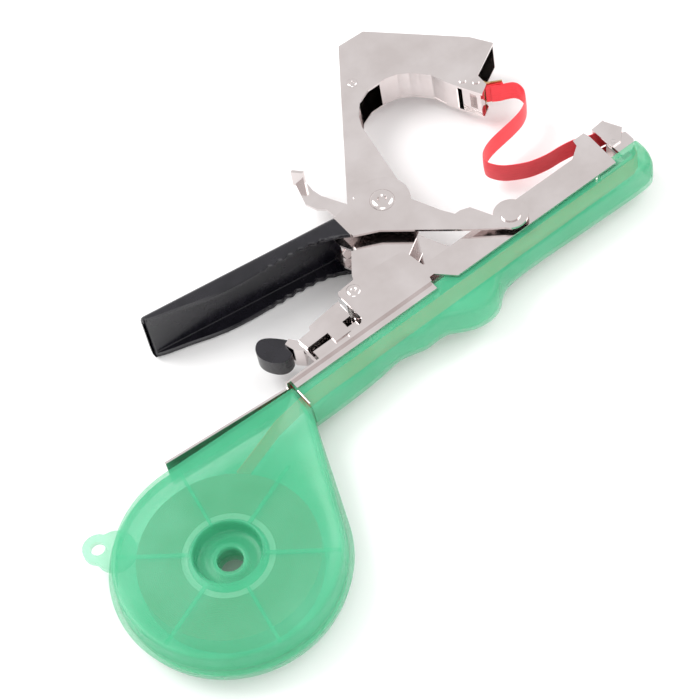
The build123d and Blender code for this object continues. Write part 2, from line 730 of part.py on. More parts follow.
stud_places = [(107.2, 59.6), (111.2, 55.0)]
with BuildPart() as tip_studs:
    for low in (-arm_half - 0.6, arm_half):
        with BuildSketch(level(low)):
            with Locations(*stud_places):
                Circle(1.7)
        extrude(amount=0.6)
save(tip_studs.part, "tip_studs")

# Catch that grips the end of the tape on the arm's tip.
catch_x = 113.9
catch_y = 53.2
with BuildPart() as tape_catch:
    with BuildSketch(level(-6.6)):
        Polygon(*strip((121.0, 48.9), (catch_x, catch_y), 0.7), align=None)
    extrude(amount=13.2)
    with BuildSketch(level(-6.6)):
        Polygon((113.4, 52.2), (114.6, 52.4), (115.0, 53.4), (114.2, 54.2), (113.4, 53.6), align=None)
    extrude(amount=13.2)
save(tape_catch.part, "tape_catch")

with BuildPart() as tape_end:
    with BuildSketch(level(-tape_width / 2)):
        Polygon(*strip((113.6, 51.7), (120.6, 47.6), tape_thick * 2), align=None)
    extrude(amount=tape_width)
save(tape_end.part, "tape_end")

# ---------------------------------------------------------------- squeeze lever
grip_left = -77.0
grip_right = 15.0
web_slope = -0.156


def web_line(x):
    """Outer face of the metal web under the grip's coat."""
    return 34.4 + web_slope * (x - grip_right)


metal_in_grip = [
    (grip_left + 2.0, web_line(grip_left + 2.0)), (grip_left + 2.0, 46.4), (-61.6, 42.2), (-43.2, 36.5),
    (-21.1, 33.7), (-0.9, 31.2), (5.4, 29.1), (16.4, 22.6),
]
lever_wall = [
    *metal_in_grip, (16.4, 21.3), (26.8, 15.8), (39.6, 4.3), (55.4, -10.0), (70.7, -22.2),
    (67.4, -11.0), (62.8, -0.9), (58.6, 0.7), (55.9, 0.7), (52.5, 6.8), (47.0, 19.9),
    (28.0, 36.2), (grip_right, web_line(grip_right)),
]
with BuildPart() as lever_shell:
    for low in (-lever_half, lever_in):
        with BuildSketch(level(low)):
            Polygon(*lever_wall, align=None)
            with Locations((lever_pivot_x, lever_pivot_y)):
                Circle(12.4)
            with Locations((lever_pin_x, lever_pin_y)):
                Circle(7.6)
                Circle(lever_pin_r + running, mode=Mode.SUBTRACT)
            with Locations((lever_pivot_x, lever_pivot_y)):
                Circle(lever_pivot_r, mode=Mode.SUBTRACT)
        extrude(amount=sheet)
    web_left = grip_left + 2.0
    web_right = 6.0
    with BuildSketch(level(-lever_half)):
        Polygon((web_left, web_line(web_left)), (web_right, web_line(web_right)),
                (web_right, web_line(web_right) - sheet), (web_left, web_line(web_left) - sheet),
                align=None)
    extrude(amount=2 * lever_half)
save(lever_shell.part, "lever_shell")

with BuildPart() as lever_rivet:
    with BuildSketch(level(-lever_half)):
        with Locations((lever_pivot_x, lever_pivot_y)):
            Circle(lever_pivot_r)
    extrude(amount=2 * lever_half)
    for low in (-lever_half - 0.9, lever_half):
        with BuildSketch(level(low)):
            with Locations((lever_pivot_x, lever_pivot_y)):
                Circle(5.6)
        extrude(amount=0.9)
save(lever_rivet.part, "lever_rivet")

# Black grip dipped over the lever: outer coat, rim and lining follow the metal.
grip_out = lever_half + grip_coat
grip_in = lever_in - grip_lining
grip_side = [
    (grip_left, web_line(grip_left) + grip_coat), (grip_left, 46.6), (-74.6, 45.6), (-61.6, 40.9),
    (-43.2, 35.2), (-21.1, 32.4), (-0.9, 29.9), (5.4, 27.8), (16.4, 21.3),
    (grip_right, web_line(grip_right) + grip_coat),
]
with BuildPart() as grip_sleeve:
    for low in (-grip_out, grip_in):
        with BuildSketch(level(low)):
            Polygon(*grip_side, align=None)
        extrude(amount=grip_out - grip_in)
    with BuildSketch(level(-grip_out)):
        Polygon((grip_left, web_line(grip_left) + grip_coat), (web_right, web_line(web_right) + grip_coat),
                (web_right, web_line(web_right) - sheet - grip_lining),
                (grip_left, web_line(grip_left) - sheet - grip_lining), align=None)
    extrude(amount=2 * grip_out)
    with BuildSketch(level(-grip_out)):
        Polygon((grip_left, web_line(grip_left)), (grip_left + 2.0, web_line(grip_left)),
                (grip_left + 2.0, 45.4), (grip_left, 46.6), align=None)
    extrude(amount=2 * grip_out)
    for low in (-lever_half, lever_in):
        with BuildSketch(level(low)):
            Polygon(*metal_in_grip, (17.0, 21.0), (18.0, web_line(18.0)), align=None)
        extrude(amount=sheet, mode=Mode.SUBTRACT)
    with BuildSketch(level(-lever_half)):
        Polygon((grip_left + 2.0, web_line(grip_left + 2.0)), (18.0, web_line(18.0)),
                (18.0, web_line(18.0) - sheet), (grip_left + 2.0, web_line(grip_left + 2.0) - sheet),
                align=None)
    extrude(amount=2 * lever_half, mode=Mode.SUBTRACT)
save(grip_sleeve.part, "grip_sleeve")

# ---------------------------------------------------------------- lock hook on the arm
hook_low = -4.0
hook_thick = 1.2
with BuildPart() as lock_hook:
    with BuildSketch(level(hook_low)):
        Polygon((36.4, 41.5), (31.2, 46.6), (29.6, 49.8), (25.0, 59.2), (24.2, 64.0), (24.6, 69.5),
                (21.0, 73.7), (17.1, 60.1), (19.2, 54.6), (22.3, 51.7), (22.6, 46.7), (30.0, 38.0),
                align=None)
        with Locations((hook_x, hook_y)):
            Circle(3.6)
            Circle(hook_r + running, mode=Mode.SUBTRACT)
    extrude(amount=hook_thick)
    with BuildSketch(level(hook_low)):
        Polygon((24.6, 69.5), (21.0, 73.7), (19.8, 73.0), (23.4, 68.9), align=None)
    extrude(amount=9.5)
save(lock_hook.part, "lock_hook")

with BuildPart() as hook_pin:
    with BuildSketch(level(-arm_half)):
        with Locations((hook_x, hook_y)):
            Circle(hook_r)
    extrude(amount=2 * arm_half)
    for low in (-arm_half - 0.5, arm_half):
        with BuildSketch(level(low)):
            with Locations((hook_x, hook_y)):
                Circle(hook_r + 0.8)
        extrude(amount=0.5)
save(hook_pin.part, "hook_pin")

print("main pivot at", round(pivot_x, 3), round(pivot_y, 3), round(mid_z, 3))
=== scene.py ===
import json
import math

import bmesh
import bpy
from mathutils import Matrix, Vector


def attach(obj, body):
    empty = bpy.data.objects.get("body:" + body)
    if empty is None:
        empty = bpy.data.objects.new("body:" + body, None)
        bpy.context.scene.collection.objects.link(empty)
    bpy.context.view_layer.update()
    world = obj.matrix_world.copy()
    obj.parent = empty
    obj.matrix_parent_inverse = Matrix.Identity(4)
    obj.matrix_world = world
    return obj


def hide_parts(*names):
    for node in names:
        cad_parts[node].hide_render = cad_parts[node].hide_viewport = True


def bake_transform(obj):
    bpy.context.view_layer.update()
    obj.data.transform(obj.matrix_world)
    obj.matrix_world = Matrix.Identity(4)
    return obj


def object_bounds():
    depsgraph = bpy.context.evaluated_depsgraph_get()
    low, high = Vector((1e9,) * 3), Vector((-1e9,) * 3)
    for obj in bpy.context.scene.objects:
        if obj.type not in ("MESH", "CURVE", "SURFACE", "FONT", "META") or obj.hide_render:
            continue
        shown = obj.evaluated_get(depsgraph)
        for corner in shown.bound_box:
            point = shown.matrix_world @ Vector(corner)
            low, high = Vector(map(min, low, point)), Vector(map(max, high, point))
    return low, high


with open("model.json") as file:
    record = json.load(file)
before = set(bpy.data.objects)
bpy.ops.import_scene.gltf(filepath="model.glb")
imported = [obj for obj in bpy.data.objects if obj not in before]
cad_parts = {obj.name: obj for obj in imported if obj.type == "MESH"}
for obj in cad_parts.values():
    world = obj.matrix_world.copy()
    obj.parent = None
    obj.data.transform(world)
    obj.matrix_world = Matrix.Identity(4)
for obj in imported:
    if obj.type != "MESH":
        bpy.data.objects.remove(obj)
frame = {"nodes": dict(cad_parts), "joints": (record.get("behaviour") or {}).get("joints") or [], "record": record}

# A garden tape tool lying on its side on a pale floor: nickelled jaw arm and
# squeeze lever, black dipped grip, translucent green shells, red plastic tape.
# Lengths are written in millimetres from the main pivot, in the middle plane of
# the tool; at() turns them into the frame's metres.

cad_low, cad_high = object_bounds()
MM = 0.001
REEL_X = -113.0             # axis of the tape reel
REEL_Y = -64.0
JOINTS = {joint["name"]: joint for joint in frame["joints"]}
MAIN_PIVOT = Vector(JOINTS["arm_close"]["pos_m"])


def at(x, y, z=0.0):
    """A point x, y from the main pivot and z above the middle plane, in metres."""
    return MAIN_PIVOT + Vector((x, y, z)) * MM


# ---------------------------------------------------------------- node helpers
def new_material(name):
    material = bpy.data.materials.new(name)
    material.use_nodes = True
    tree = material.node_tree
    return material, tree.nodes, tree.links, tree.nodes["Principled BSDF"]


def noise_node(nodes, links, scale, detail=4.0, stretch=(1, 1, 1)):
    """Noise in the object's own metres, stretched along its axes."""
    place = nodes.new("ShaderNodeTexCoord")
    mapping = nodes.new("ShaderNodeMapping")
    mapping.inputs["Scale"].default_value = stretch
    noise = nodes.new("ShaderNodeTexNoise")
    noise.inputs["Scale"].default_value = scale
    noise.inputs["Detail"].default_value = detail
    links.new(place.outputs["Object"], mapping.inputs["Vector"])
    links.new(mapping.outputs["Vector"], noise.inputs["Vector"])
    return noise


def ramp_node(nodes, links, source, low, high, start=0.3, end=0.7):
    """Two colours spread over a source value."""
    ramp = nodes.new("ShaderNodeValToRGB")
    ramp.color_ramp.elements[0].position = start
    ramp.color_ramp.elements[0].color = (*low, 1)
    ramp.color_ramp.elements[1].position = end
    ramp.color_ramp.elements[1].color = (*high, 1)
    links.new(source, ramp.inputs["Fac"])
    return ramp


def grey_range(nodes, links, source, low, high):
    """Source value mapped onto low to high."""
    spread = nodes.new("ShaderNodeMapRange")
    spread.inputs["To Min"].default_value = low
    spread.inputs["To Max"].default_value = high
    links.new(source, spread.inputs["Value"])
    return spread


def bump(nodes, links, shader, height, strength, distance):
    node = nodes.new("ShaderNodeBump")
    node.inputs["Strength"].default_value = strength
    node.inputs["Distance"].default_value = distance
    links.new(height, node.inputs["Height"])
    links.new(node.outputs["Normal"], shader.inputs["Normal"])
    return node


# ---------------------------------------------------------------- materials
def nickel_plate():
    """Bright nickel over pressed sheet: faint rolling lines and soft, cloudy gloss."""
    material, nodes, links, shader = new_material("nickel plate")
    cloud = noise_node(nodes, links, 60, 3)
    grain = noise_node(nodes, links, 900, 4, (1, 0.15, 1))
    tint = ramp_node(nodes, links, cloud.outputs["Fac"], (0.70, 0.64, 0.63), (0.80, 0.745, 0.74))
    links.new(tint.outputs["Color"], shader.inputs["Base Color"])
    rough = grey_range(nodes, links, cloud.outputs["Fac"], 0.07, 0.16)
    links.new(rough.outputs["Result"], shader.inputs["Roughness"])
    bump(nodes, links, shader, grain.outputs["Fac"], 0.05, 0.0002)
    shader.inputs["Metallic"].default_value = 1.0
    return material


def spring_steel():
    """Darker drawn wire and hardened strip."""
    material, nodes, links, shader = new_material("spring steel")
    grain = noise_node(nodes, links, 700, 4, (0.2, 1, 1))
    tint = ramp_node(nodes, links, grain.outputs["Fac"], (0.22, 0.21, 0.20), (0.42, 0.40, 0.38))
    links.new(tint.outputs["Color"], shader.inputs["Base Color"])
    rough = grey_range(nodes, links, grain.outputs["Fac"], 0.22, 0.4)
    links.new(rough.outputs["Result"], shader.inputs["Roughness"])
    shader.inputs["Metallic"].default_value = 1.0
    return material


def green_plastic():
    """Translucent injection-moulded green, cloudy and softly glossy."""
    material, nodes, links, shader = new_material("green plastic")
    cloud = noise_node(nodes, links, 35, 3)
    tint = ramp_node(nodes, links, cloud.outputs["Fac"], (0.07, 0.56, 0.28), (0.12, 0.66, 0.37))
    links.new(tint.outputs["Color"], shader.inputs["Base Color"])
    rough = grey_range(nodes, links, cloud.outputs["Fac"], 0.22, 0.34)
    links.new(rough.outputs["Result"], shader.inputs["Roughness"])
    skin = noise_node(nodes, links, 1400, 2)
    bump(nodes, links, shader, skin.outputs["Fac"], 0.03, 0.0001)
    shader.inputs["Alpha"].default_value = 0.40
    return material


def black_vinyl():
    """Dipped vinyl: thick, glossy, with slight sags."""
    material, nodes, links, shader = new_material("black vinyl")
    sag = noise_node(nodes, links, 120, 3)
    tint = ramp_node(nodes, links, sag.outputs["Fac"], (0.003, 0.003, 0.006), (0.009, 0.008, 0.013))
    links.new(tint.outputs["Color"], shader.inputs["Base Color"])
    rough = grey_range(nodes, links, sag.outputs["Fac"], 0.20, 0.34)
    links.new(rough.outputs["Result"], shader.inputs["Roughness"])
    bump(nodes, links, shader, sag.outputs["Fac"], 0.15, 0.0006)
    return material


def red_tape():
    """Thin soft tape with faint lengthwise lines."""
    material, nodes, links, shader = new_material("red tape")
    line = noise_node(nodes, links, 300, 3, (1, 1, 8))
    tint = ramp_node(nodes, links, line.outputs["Fac"], (0.86, 0.03, 0.045), (0.95, 0.05, 0.07))
    links.new(tint.outputs["Color"], shader.inputs["Base Color"])
    rough = grey_range(nodes, links, line.outputs["Fac"], 0.32, 0.5)
    links.new(rough.outputs["Result"], shader.inputs["Roughness"])
    bump(nodes, links, shader, line.outputs["Fac"], 0.08, 0.0002)
    return material


def brass_leaf():
    material, nodes, links, shader = new_material("brass leaf")
    grain = noise_node(nodes, links, 500, 4, (0.2, 1, 1))
    tint = ramp_node(nodes, links, grain.outputs["Fac"], (0.50, 0.36, 0.16), (0.68, 0.52, 0.28))
    links.new(tint.outputs["Color"], shader.inputs["Base Color"])
    rough = grey_range(nodes, links, grain.outputs["Fac"], 0.2, 0.36)
    links.new(rough.outputs["Result"], shader.inputs["Roughness"])
    shader.inputs["Metallic"].default_value = 1.0
    return material


def pale_plastic():
    material, nodes, links, shader = new_material("pale plastic")
    cloud = noise_node(nodes, links, 90, 3)
    tint = ramp_node(nodes, links, cloud.outputs["Fac"], (0.50, 0.50, 0.46), (0.62, 0.61, 0.57))
    links.new(tint.outputs["Color"], shader.inputs["Base Color"])
    rough = grey_range(nodes, links, cloud.outputs["Fac"], 0.45, 0.6)
    links.new(rough.outputs["Result"], shader.inputs["Roughness"])
    return material


def floor_paint():
    material, nodes, links, shader = new_material("floor")
    cloud = noise_node(nodes, links, 3, 2)
    tint = ramp_node(nodes, links, cloud.outputs["Fac"], (0.93, 0.93, 0.93), (0.96, 0.96, 0.96))
    links.new(tint.outputs["Color"], shader.inputs["Base Color"])
    shader.inputs["Roughness"].default_value = 0.9
    return material


def roll_side():
    """The wound edges of the tape roll: deep red with fine rings."""
    material, nodes, links, shader = new_material("tape roll side")
    place = nodes.new("ShaderNodeTexCoord")
    centre = nodes.new("ShaderNodeVectorMath")
    centre.operation = "SUBTRACT"
    centre.inputs[1].default_value = at(REEL_X, REEL_Y)
    links.new(place.outputs["Object"], centre.inputs[0])
    rings = nodes.new("ShaderNodeTexWave")
    rings.wave_type = "RINGS"
    rings.rings_direction = "Z"
    rings.inputs["Scale"].default_value = 420
    rings.inputs["Distortion"].default_value = 1.5
    links.new(centre.outputs["Vector"], rings.inputs["Vector"])
    tint = ramp_node(nodes, links, rings.outputs["Fac"], (0.16, 0.035, 0.035), (0.30, 0.065, 0.065),
                     0.2, 0.8)
    links.new(tint.outputs["Color"], shader.inputs["Base Color"])
    bump(nodes, links, shader, rings.outputs["Fac"], 0.2, 0.0002)
    shader.inputs["Roughness"].default_value = 0.5
    return material


FINISH = {
    "nickel_steel": nickel_plate(),
    "spring_steel": spring_steel(),
    "staple_wire": spring_steel(),
    "green_plastic": green_plastic(),
    "white_plastic": pale_plastic(),
    "black_vinyl": black_vinyl(),
    "red_tape": red_tape(),
    "brass_leaf": brass_leaf(),
}


def dress(obj, slot_name):
    """Give a piece the finish of the slot named by slot_name."""
    obj.data.materials.clear()
    obj.data.materials.append(FINISH[slot_name])
    return obj


for part in frame["record"]["subparts"]:
    node = frame["nodes"][part["node"]]
    node.data.materials.clear()
    node.data.materials.append(FINISH[part["material_slot"]])

frame["nodes"]["tape_roll"].data.materials[0] = roll_side()


# ---------------------------------------------------------------- mesh helpers
def piece(name, verts, faces, slot_name, body, sharp=40):
    """A mesh piece with smooth faces and sharp corners, riding on a body."""
    mesh = bpy.data.meshes.new(name)
    mesh.from_pydata([tuple(v) for v in verts], [], faces)
    shell = bmesh.new()
    shell.from_mesh(mesh)
    bmesh.ops.recalc_face_normals(shell, faces=shell.faces)
    shell.to_mesh(mesh)
    shell.free()
    mesh.shade_smooth()
    mesh.set_sharp_from_angle(angle=math.radians(sharp))
    obj = bpy.data.objects.new(name, mesh)
    bpy.context.scene.collection.objects.link(obj)
    dress(obj, slot_name)
    if body:
        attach(obj, body)
    return obj


def loft(sections, closed_ends=True, ring=False):
    """Vertices and faces through equal closed sections; ring joins the last to the first."""
    count = len(sections[0])
    verts = [p for section in sections for p in section]
    faces = []
    spans = len(sections) if ring else len(sections) - 1
    for i in range(spans):
        a = i * count
        b = ((i + 1) % len(sections)) * count
        for k in range(count):
            n = (k + 1) % count
            faces.append((a + k, a + n, b + n, b + k))
    if closed_ends and not ring:
        faces.append(tuple(range(count)))
        faces.append(tuple(range(len(verts) - count, len(verts))))
    return verts, faces


def channel(half_width, web, mouth, wall, radius, steps=6):
    """Closed (y, z) section of a channel: its web at y = web, its open side at y = mouth."""
    way = 1 if mouth > web else -1
    lip = min(0.6, wall * 0.4)
    points = []

    def side(width, base, corner, sign, forward):
        run = []
        for k in range(steps + 1):
            angle = math.radians(90 * k / steps)
            depth = base + way * corner * (1 - math.sin(angle))
            run.append((depth, sign * (width - corner * (1 - math.cos(angle)))))
        return run[::-1] if forward else run

    inner_corner = max(radius - wall, 0.3)
    points.append((mouth - way * lip, half_width))
    points += side(half_width, web, radius, 1, False)
    points += side(half_width, web, radius, -1, True)
    points.append((mouth - way * lip, -half_width))
    points.append((mouth, -half_width + lip))
    points.append((mouth, -half_width + wall - lip))
    points.append((mouth - way * lip, -half_width + wall))
    points += side(half_width - wall, web + way * wall, inner_corner, -1, False)
    points += side(half_width - wall, web + way * wall, inner_corner, 1, True)
    points.append((mouth - way * lip, half_width - wall))
    points.append((mouth, half_width - wall + lip))
    points.append((mouth, half_width - lip))
    return points


def smooth_curve(points, steps=10):
    """Points of a Catmull-Rom curve through points."""
    out = []
    for i in range(len(points) - 1):
        p0 = points[max(i - 1, 0)]
        p1 = points[i]
        p2 = points[i + 1]
        p3 = points[min(i + 2, len(points) - 1)]
        for k in range(steps):
            t = k / steps
            out.append(tuple(
                0.5 * (2 * b + (c - a) * t + (2 * a - 5 * b + 4 * c - d) * t * t
                       + (3 * b - a - 3 * c + d) * t ** 3)
                for a, b, c, d in zip(p0, p1, p2, p3)))
    out.append(tuple(points[-1]))
    return out


def height_at(curve, x):
    """Value of a curve of (x, y) points at x."""
    for (x0, y0), (x1, y1) in zip(curve, curve[1:]):
        if x0 <= x <= x1:
            return y0 + (y1 - y0) * (x - x0) / (x1 - x0 or 1)
    return curve[0][1] if x < curve[0][0] else curve[-1][1]


def turned_piece(name, x, y, profile, slot_name, body, steps=40, sharp=35):
    """A round piece about an axis along Z at x, y; profile is closed (radius, z) points."""
    sections = []
    for i in range(steps):
        angle = 2 * math.pi * i / steps
        sections.append([at(x + r * math.cos(angle), y + r * math.sin(angle), z) for r, z in profile])
    verts, faces = loft(sections, ring=True)
    return piece(name, verts, faces, slot_name, body, sharp)


# ---------------------------------------------------------------- floor
FLOOR_SIZE = 6.0
floor_mesh = bpy.data.meshes.new("floor")
half = FLOOR_SIZE / 2
floor_mesh.from_pydata([(-half, -half, 0), (half, -half, 0), (half, half, 0), (-half, half, 0)], [],
                       [(0, 1, 2, 3)])
floor = bpy.data.objects.new("floor", floor_mesh)
bpy.context.scene.collection.objects.link(floor)
floor_mesh.materials.append(floor_paint())
floor.location.z = cad_low[2] - 0.0005

# ---------------------------------------------------------------- camera
SENSOR = 36.0
LENS = 117.8
look = Vector((0.25299, 0.49876, -0.82899)).normalized()
up = -Vector((-0.56210, -0.62164, -0.54554)).normalized()
camera_data = bpy.data.cameras.new("camera")
camera_data.sensor_width = SENSOR
camera_data.lens = LENS
camera_data.clip_start = 0.05
camera_data.clip_end = 20
camera = bpy.data.objects.new("camera", camera_data)
bpy.context.scene.collection.objects.link(camera)
across = look.cross(up).normalized()
above = across.cross(look)
camera.matrix_world = Matrix.Translation(at(-259.19, -495.67, 797.3)) @ Matrix(
    (across, above, -look)).transposed().to_4x4()
bpy.context.scene.camera = camera


# ---------------------------------------------------------------- lights
def lamp(name, place, aim, size, watts):
    data = bpy.data.lights.new(name, "AREA")
    data.shape = "DISK"
    data.size = size
    data.energy = watts
    obj = bpy.data.objects.new(name, data)
    obj.location = place
    obj.rotation_euler = (Vector(aim) - Vector(place)).to_track_quat("-Z", "Y").to_euler()
    bpy.context.scene.collection.objects.link(obj)


middle = Vector([(a + b) / 2 for a, b in zip(cad_low, cad_high)])
lamp("key", middle + Vector((-0.5, 0.7, 1.1)), middle, 0.9, 11)
lamp("fill", middle + Vector((0.9, -0.3, 0.9)), middle, 1.0, 5)
lamp("front", middle + Vector((-0.7, -0.9, 0.7)), middle, 1.0, 4)

world = bpy.data.worlds.new("world")
bpy.context.scene.world = world
world.use_nodes = True
background = world.node_tree.nodes["Background"]
background.inputs["Color"].default_value = (1.0, 0.99, 0.985, 1)
background.inputs["Strength"].default_value = 0.86
bpy.context.scene.view_settings.view_transform = "Standard"

# ---------------------------------------------------------------- black dipped grip
GRIP_HALF = 14.6
GRIP_WALL = 2.6
GRIP_CORNER = 3.2
GRIP_LEFT = -77.0
GRIP_RIGHT = 15.6
GRIP_RIM = smooth_curve([(-77.0, 46.4), (-72.0, 44.2), (-61.6, 40.9), (-52.0, 37.6), (-43.2, 35.2),
                         (-32.0, 33.4), (-21.1, 32.4), (-10.0, 31.3), (-0.9, 29.9), (5.4, 27.8), (11.0, 25.0),
                         (16.4, 21.3)])


def grip_top(x):
    return 35.4 - 0.156 * (x - 15.0)


def grip_waves(x):
    """Finger ripples along the rim near the pivot."""
    fade = min(max((x + 27) / 6, 0), 1) * min(max((9 - x) / 4, 0), 1)
    return 0.45 * fade * math.sin((x + 27) * 2 * math.pi / 5.0)


def black_grip():
    stations = 120
    sections = []
    for i in range(stations + 1):
        x = GRIP_LEFT + 1.6 + (GRIP_RIGHT - GRIP_LEFT - 1.6) * i / stations
        rim = height_at(GRIP_RIM, x) + grip_waves(x)
        web = grip_top(x)
        sections.append([at(x, y, z) for y, z in channel(GRIP_HALF, web, rim, GRIP_WALL, GRIP_CORNER)])
    verts, faces = loft(sections)
    grip = piece("grip_cover", verts, faces, "black_vinyl", "squeeze_lever")
    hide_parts("grip_sleeve")
    # closed end of the dip, drawn in towards its edge
    sections = []
    for inwards, shrink in ((1.7, 0.0), (0.8, 0.25), (0.2, 0.9), (0.0, 1.9)):
        x = GRIP_LEFT + inwards
        rim = height_at(GRIP_RIM, x) + shrink * 0.4
        web = grip_top(x) - shrink * 0.5
        outer = channel(GRIP_HALF - shrink, web, rim, GRIP_WALL, GRIP_CORNER)[:16]
        sections.append([at(x, y, z) for y, z in outer])
    verts, faces = loft(sections)
    piece("grip_end", verts, faces, "black_vinyl", "squeeze_lever")


black_grip()

# ---------------------------------------------------------------- green grip shell
SHELL_HALF = 8.8
SHELL_WALL = 1.4
SHELL_CORNER = 4.2
SHELL_TOP = -18.4
SEAM_X = -47.0
NOSE_X = 142.0
SHELL_BELLY = smooth_curve([(-47.0, -33.6), (-30.0, -33.4), (-14.0, -32.6), (-7.0, -31.6), (-1.0, -31.2),
                            (5.0, -32.6), (11.0, -34.2), (17.0, -34.0), (22.0, -34.6), (28.0, -38.0),
                            (34.0, -40.6), (41.0, -41.2), (46.5, -39.4), (50.5, -36.0), (55.0, -33.4),
                            (62.0, -32.2), (75.0, -32.0), (95.0, -32.6), (118.0, -33.2), (130.0, -33.4),
                            (136.0, -33.0), (139.0, -31.6), (141.0, -28.0), (142.0, -24.0)])


def shell_section(x, inset):
    belly = height_at(SHELL_BELLY, x)
    return [at(x, y, z) for y, z in channel(SHELL_HALF - inset, belly, SHELL_TOP,
                                                SHELL_WALL, SHELL_CORNER)]


def green_grip():
    stations = 150
    sections = []
    for i in range(stations + 1):
        x = SEAM_X + (NOSE_X - 4.0 - SEAM_X) * i / stations
        sections.append(shell_section(x, 0))
    for x, inset in ((139.4, 0.15), (140.6, 0.6), (141.4, 1.3), (141.9, 2.2)):
        sections.append(shell_section(x, inset))
    verts, faces = loft(sections)
    shell = piece("finger_grip", verts, faces, "green_plastic", "frame")
    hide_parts("grip_shell")
    # blunt front wall of the shell
    sections = []
    for x, inset in ((139.8, 0.25), (141.0, 0.9), (141.9, 2.2)):
        half = SHELL_HALF - inset
        belly = height_at(SHELL_BELLY, x)
        outer = channel(half, belly, SHELL_TOP, SHELL_WALL, SHELL_CORNER)[1:15]
        outline = [(SHELL_TOP, half), *outer, (SHELL_TOP, -half)]
        sections.append([at(x, y, z) for y, z in outline])
    verts, faces = loft(sections)
    piece("grip_nose", verts, faces, "green_plastic", "frame")


green_grip()

# ---------------------------------------------------------------- reel case
TEAR_HIGH = -19.5
TEAR_LOW = -32.5
TRAY_R = 49.6
LID_R = 47.0
HUB_R = 14.2
HUB_HOLE_R = 5.5


def corner_ring(radius, inset, z, steps=144):
    """Closed teardrop line at height z, moved inwards by inset, by angle about the reel axis."""
    right = SEAM_X - 0.3 - inset - REEL_X
    high = TEAR_HIGH - inset - REEL_Y
    low = TEAR_LOW + inset - REEL_Y
    r = radius - inset
    corner_a = math.atan2(high, right)
    corner_b = math.atan2(low, right)
    start_a = corner_a + math.acos(r / math.hypot(right, high))
    start_b = corner_b - math.acos(r / math.hypot(right, low))
    angles = [start_b + (corner_b - start_b) * i / 12 for i in range(12)]
    angles += [corner_b + (corner_a - corner_b) * i / 8 for i in range(8)]
    angles += [corner_a + (start_a - corner_a) * i / 12 for i in range(12)]
    rest = steps - len(angles)
    angles += [start_a + (2 * math.pi + start_b - start_a) * i / rest for i in range(rest)]
    ring = []
    for index, angle in enumerate(angles):
        if index < 12:
            reach = r / math.cos(angle - start_b)
        elif index < 20:
            reach = right / math.cos(angle)
        elif index < 32:
            reach = r / math.cos(angle - start_a)
        else:
            reach = r
        ring.append(at(REEL_X + reach * math.cos(angle), REEL_Y + reach * math.sin(angle), z))
    return ring, angles


def round_ring(radius, z, angles):
    return [at(REEL_X + radius * math.cos(a), REEL_Y + radius * math.sin(a), z) for a in angles]


def reel_lid():
    outer, angles = corner_ring(LID_R + 0.5, 0, 0.1)
    rings = [outer]
    for radius, inset, z in ((LID_R + 0.4, 0, 1.2), (LID_R, 0, 7.2), (LID_R, 0.12, 8.0), (LID_R, 0.5, 8.5),
                             (LID_R, 1.0, 8.75), (LID_R, 1.7, 8.8), (LID_R, 3.4, 8.8), (LID_R, 3.9, 8.5)):
        rings.append(corner_ring(radius, inset, z)[0])
    for radius, z in ((40.0, 8.5), (28.0, 8.5), (18.0, 8.5), (HUB_R + 1.3, 8.5), (HUB_R + 0.9, 8.8),
                      (HUB_R + 0.2, 8.8), (HUB_R - 0.2, 8.5), (HUB_R - 0.7, 7.0), (HUB_R - 0.9, 2.6),
                      (HUB_R - 1.6, 2.0), (8.4, 2.0), (7.8, 2.5), (HUB_HOLE_R + 0.6, 2.5),
                      (HUB_HOLE_R, 2.2), (HUB_HOLE_R, 0.6)):
        rings.append(round_ring(radius, z, angles))
    for radius, z in ((HUB_R - 0.2, 0.6), (HUB_R + 0.2, 1.2), (HUB_R + 0.5, 7.2), (24.0, 7.3), (40.0, 7.3)):
        rings.append(round_ring(radius, z, angles))
    rings.append(corner_ring(LID_R, 1.5, 7.3)[0])
    rings.append(corner_ring(LID_R + 0.5, 1.4, 0.1)[0])
    verts, faces = loft(rings, ring=True)
    lid = piece("case_cover", verts, faces, "green_plastic", "case_lid", 50)
    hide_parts("reel_lid")


def lid_ribs():
    """Six stiffening ribs under the lid's face."""
    for index in range(6):
        turn = math.radians(21 + 60 * index)
        along = Vector((math.cos(turn), math.sin(turn), 0))
        side = Vector((-math.sin(turn), math.cos(turn), 0))
        sections = []
        for reach in (HUB_R + 0.8, 26.0, 38.0, LID_R - 1.8):
            foot = along * reach
            outline = [(-0.7, 7.35), (0.7, 7.35), (0.55, 5.9), (-0.55, 5.9)]
            sections.append([at(REEL_X + foot.x + side.x * w, REEL_Y + foot.y + side.y * w, z)
                             for w, z in outline])
        verts, faces = loft(sections)
        piece(f"lid_rib_{index + 1}", verts, faces, "green_plastic", "case_lid")


